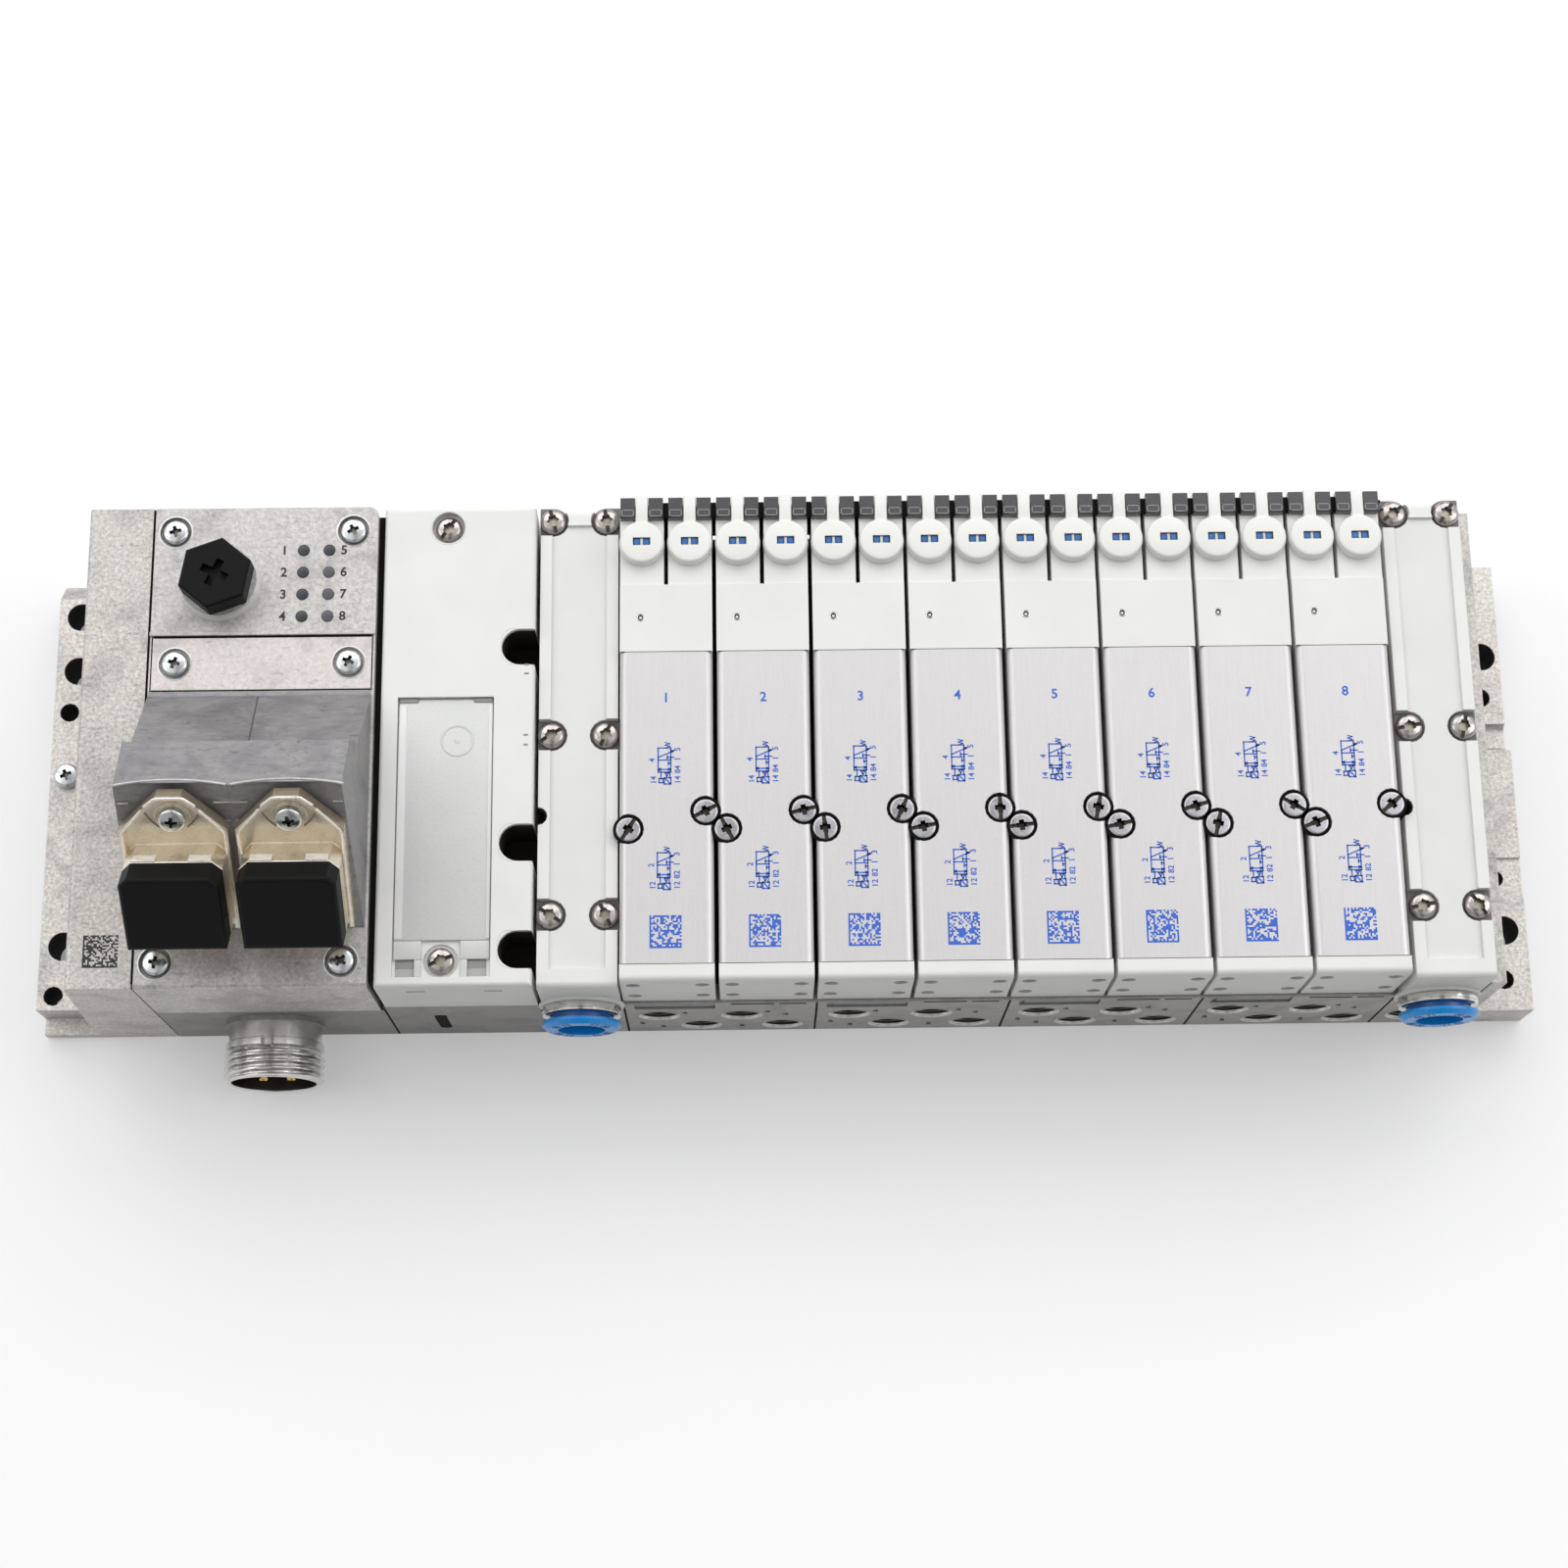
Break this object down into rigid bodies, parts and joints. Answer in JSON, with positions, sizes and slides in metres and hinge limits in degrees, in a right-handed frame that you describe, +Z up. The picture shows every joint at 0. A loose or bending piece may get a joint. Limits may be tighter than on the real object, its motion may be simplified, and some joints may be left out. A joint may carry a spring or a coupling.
{
  "type": "pneumatic valve island",
  "caption": "Low row of bolted slices: an electrical node with a sloping socket hood, a pneumatic interface, supply plates and twin solenoid valves between two flanged end plates.",
  "frame": {"origin": "middle of the flat base face", "axes": "+X along the row from the bus node to the valves, -Y to the side with the ports, +Z up"},
  "size_m": [0.3344, 0.1227, 0.0811],
  "materials": {
    "base_casting": "die-cast, matt",
    "node_casting": "die-cast, lightly brushed fronts",
    "hood_casting": "die-cast, fine blasted",
    "end_casting": "die-cast, mottled and matt",
    "valve_metal": "bead-blasted",
    "white_plastic": "fine moulded grain",
    "gasket_rubber": "matt",
    "blue_plastic": "smooth moulded",
    "dark_lens": "glossy, lightly translucent",
    "screw_steel": "zinc-plated and stainless",
    "nickel": "nickel-plated brass",
    "frame_metal": "nickel-plated die-cast zinc, satin",
    "black_plastic": "satin moulded",
    "gold_contact": "gold-plated",
    "frosted_plastic": "frosted, translucent"
  },
  "bodies": {
    "island": {"sub_base_1": "base_casting", "sub_base_2": "base_casting", "sub_base_3": "base_casting", "sub_base_4": "base_casting", "supply_left_base": "base_casting", "supply_right_base": "base_casting", "interface_base": "base_casting", "interlinking_block": "node_casting", "bus_node_housing": "node_casting", "cover_strip": "node_casting", "connector_hood": "hood_casting", "left_end_plate": "end_casting", "right_end_plate": "end_casting", "valve_body_1": "valve_metal", "valve_body_2": "valve_metal", "valve_body_3": "valve_metal", "valve_body_4": "valve_metal", "valve_body_5": "valve_metal", "valve_body_6": "valve_metal", "valve_body_7": "valve_metal", "valve_body_8": "valve_metal", "valve_end_caps": "white_plastic", "pilot_heads": "white_plastic", "override_caps": "white_plastic", "supply_left_cover": "white_plastic", "supply_right_cover": "white_plastic", "interface_cover": "white_plastic", "valve_gaskets": "gasket_rubber", "lens_blocks": "dark_lens", "status_lenses": "dark_lens", "valve_screws": "screw_steel", "housing_screws": "screw_steel", "fitting_sleeves": "nickel", "power_connector_shell": "nickel", "plug_frame_left": "frame_metal", "plug_frame_right": "frame_metal", "power_connector_insert": "black_plastic", "hex_plug": "black_plastic", "power_pins": "gold_contact", "label_window": "frosted_plastic"},
    "override_01": {"override_plunger_01": "blue_plastic"},
    "override_02": {"override_plunger_02": "blue_plastic"},
    "override_03": {"override_plunger_03": "blue_plastic"},
    "override_04": {"override_plunger_04": "blue_plastic"},
    "override_05": {"override_plunger_05": "blue_plastic"},
    "override_06": {"override_plunger_06": "blue_plastic"},
    "override_07": {"override_plunger_07": "blue_plastic"},
    "override_08": {"override_plunger_08": "blue_plastic"},
    "override_09": {"override_plunger_09": "blue_plastic"},
    "override_10": {"override_plunger_10": "blue_plastic"},
    "override_11": {"override_plunger_11": "blue_plastic"},
    "override_12": {"override_plunger_12": "blue_plastic"},
    "override_13": {"override_plunger_13": "blue_plastic"},
    "override_14": {"override_plunger_14": "blue_plastic"},
    "override_15": {"override_plunger_15": "blue_plastic"},
    "override_16": {"override_plunger_16": "blue_plastic"},
    "release_left": {"release_ring_left": "blue_plastic"},
    "release_right": {"release_ring_right": "blue_plastic"},
    "cap_left": {"dust_cap_left": "black_plastic"},
    "cap_right": {"dust_cap_right": "black_plastic"}
  },
  "joints": [
    {"name": "override_press_01", "type": "slide", "parent": "island", "child": "override_01", "axis": [0, 0, -1], "range_m": [0, 0.001], "stiffness_N_per_m": 500},
    {"name": "override_press_02", "type": "slide", "parent": "island", "child": "override_02", "axis": [0, 0, -1], "range_m": [0, 0.001], "stiffness_N_per_m": 500},
    {"name": "override_press_03", "type": "slide", "parent": "island", "child": "override_03", "axis": [0, 0, -1], "range_m": [0, 0.001], "stiffness_N_per_m": 500},
    {"name": "override_press_04", "type": "slide", "parent": "island", "child": "override_04", "axis": [0, 0, -1], "range_m": [0, 0.001], "stiffness_N_per_m": 500},
    {"name": "override_press_05", "type": "slide", "parent": "island", "child": "override_05", "axis": [0, 0, -1], "range_m": [0, 0.001], "stiffness_N_per_m": 500},
    {"name": "override_press_06", "type": "slide", "parent": "island", "child": "override_06", "axis": [0, 0, -1], "range_m": [0, 0.001], "stiffness_N_per_m": 500},
    {"name": "override_press_07", "type": "slide", "parent": "island", "child": "override_07", "axis": [0, 0, -1], "range_m": [0, 0.001], "stiffness_N_per_m": 500},
    {"name": "override_press_08", "type": "slide", "parent": "island", "child": "override_08", "axis": [0, 0, -1], "range_m": [0, 0.001], "stiffness_N_per_m": 500},
    {"name": "override_press_09", "type": "slide", "parent": "island", "child": "override_09", "axis": [0, 0, -1], "range_m": [0, 0.001], "stiffness_N_per_m": 500},
    {"name": "override_press_10", "type": "slide", "parent": "island", "child": "override_10", "axis": [0, 0, -1], "range_m": [0, 0.001], "stiffness_N_per_m": 500},
    {"name": "override_press_11", "type": "slide", "parent": "island", "child": "override_11", "axis": [0, 0, -1], "range_m": [0, 0.001], "stiffness_N_per_m": 500},
    {"name": "override_press_12", "type": "slide", "parent": "island", "child": "override_12", "axis": [0, 0, -1], "range_m": [0, 0.001], "stiffness_N_per_m": 500},
    {"name": "override_press_13", "type": "slide", "parent": "island", "child": "override_13", "axis": [0, 0, -1], "range_m": [0, 0.001], "stiffness_N_per_m": 500},
    {"name": "override_press_14", "type": "slide", "parent": "island", "child": "override_14", "axis": [0, 0, -1], "range_m": [0, 0.001], "stiffness_N_per_m": 500},
    {"name": "override_press_15", "type": "slide", "parent": "island", "child": "override_15", "axis": [0, 0, -1], "range_m": [0, 0.001], "stiffness_N_per_m": 500},
    {"name": "override_press_16", "type": "slide", "parent": "island", "child": "override_16", "axis": [0, 0, -1], "range_m": [0, 0.001], "stiffness_N_per_m": 500},
    {"name": "release_press_left", "type": "slide", "parent": "island", "child": "release_left", "axis": [0, 1, 0], "range_m": [0, 0.001], "stiffness_N_per_m": 1500},
    {"name": "release_press_right", "type": "slide", "parent": "island", "child": "release_right", "axis": [0, 1, 0], "range_m": [0, 0.001], "stiffness_N_per_m": 1500},
    {"name": "cap_pull_left", "type": "slide", "parent": "island", "child": "cap_left", "axis": [0, -0.766, 0.6428], "range_m": [0, 0.016]},
    {"name": "cap_pull_right", "type": "slide", "parent": "island", "child": "cap_right", "axis": [0, -0.766, 0.6428], "range_m": [0, 0.016]}
  ]
}
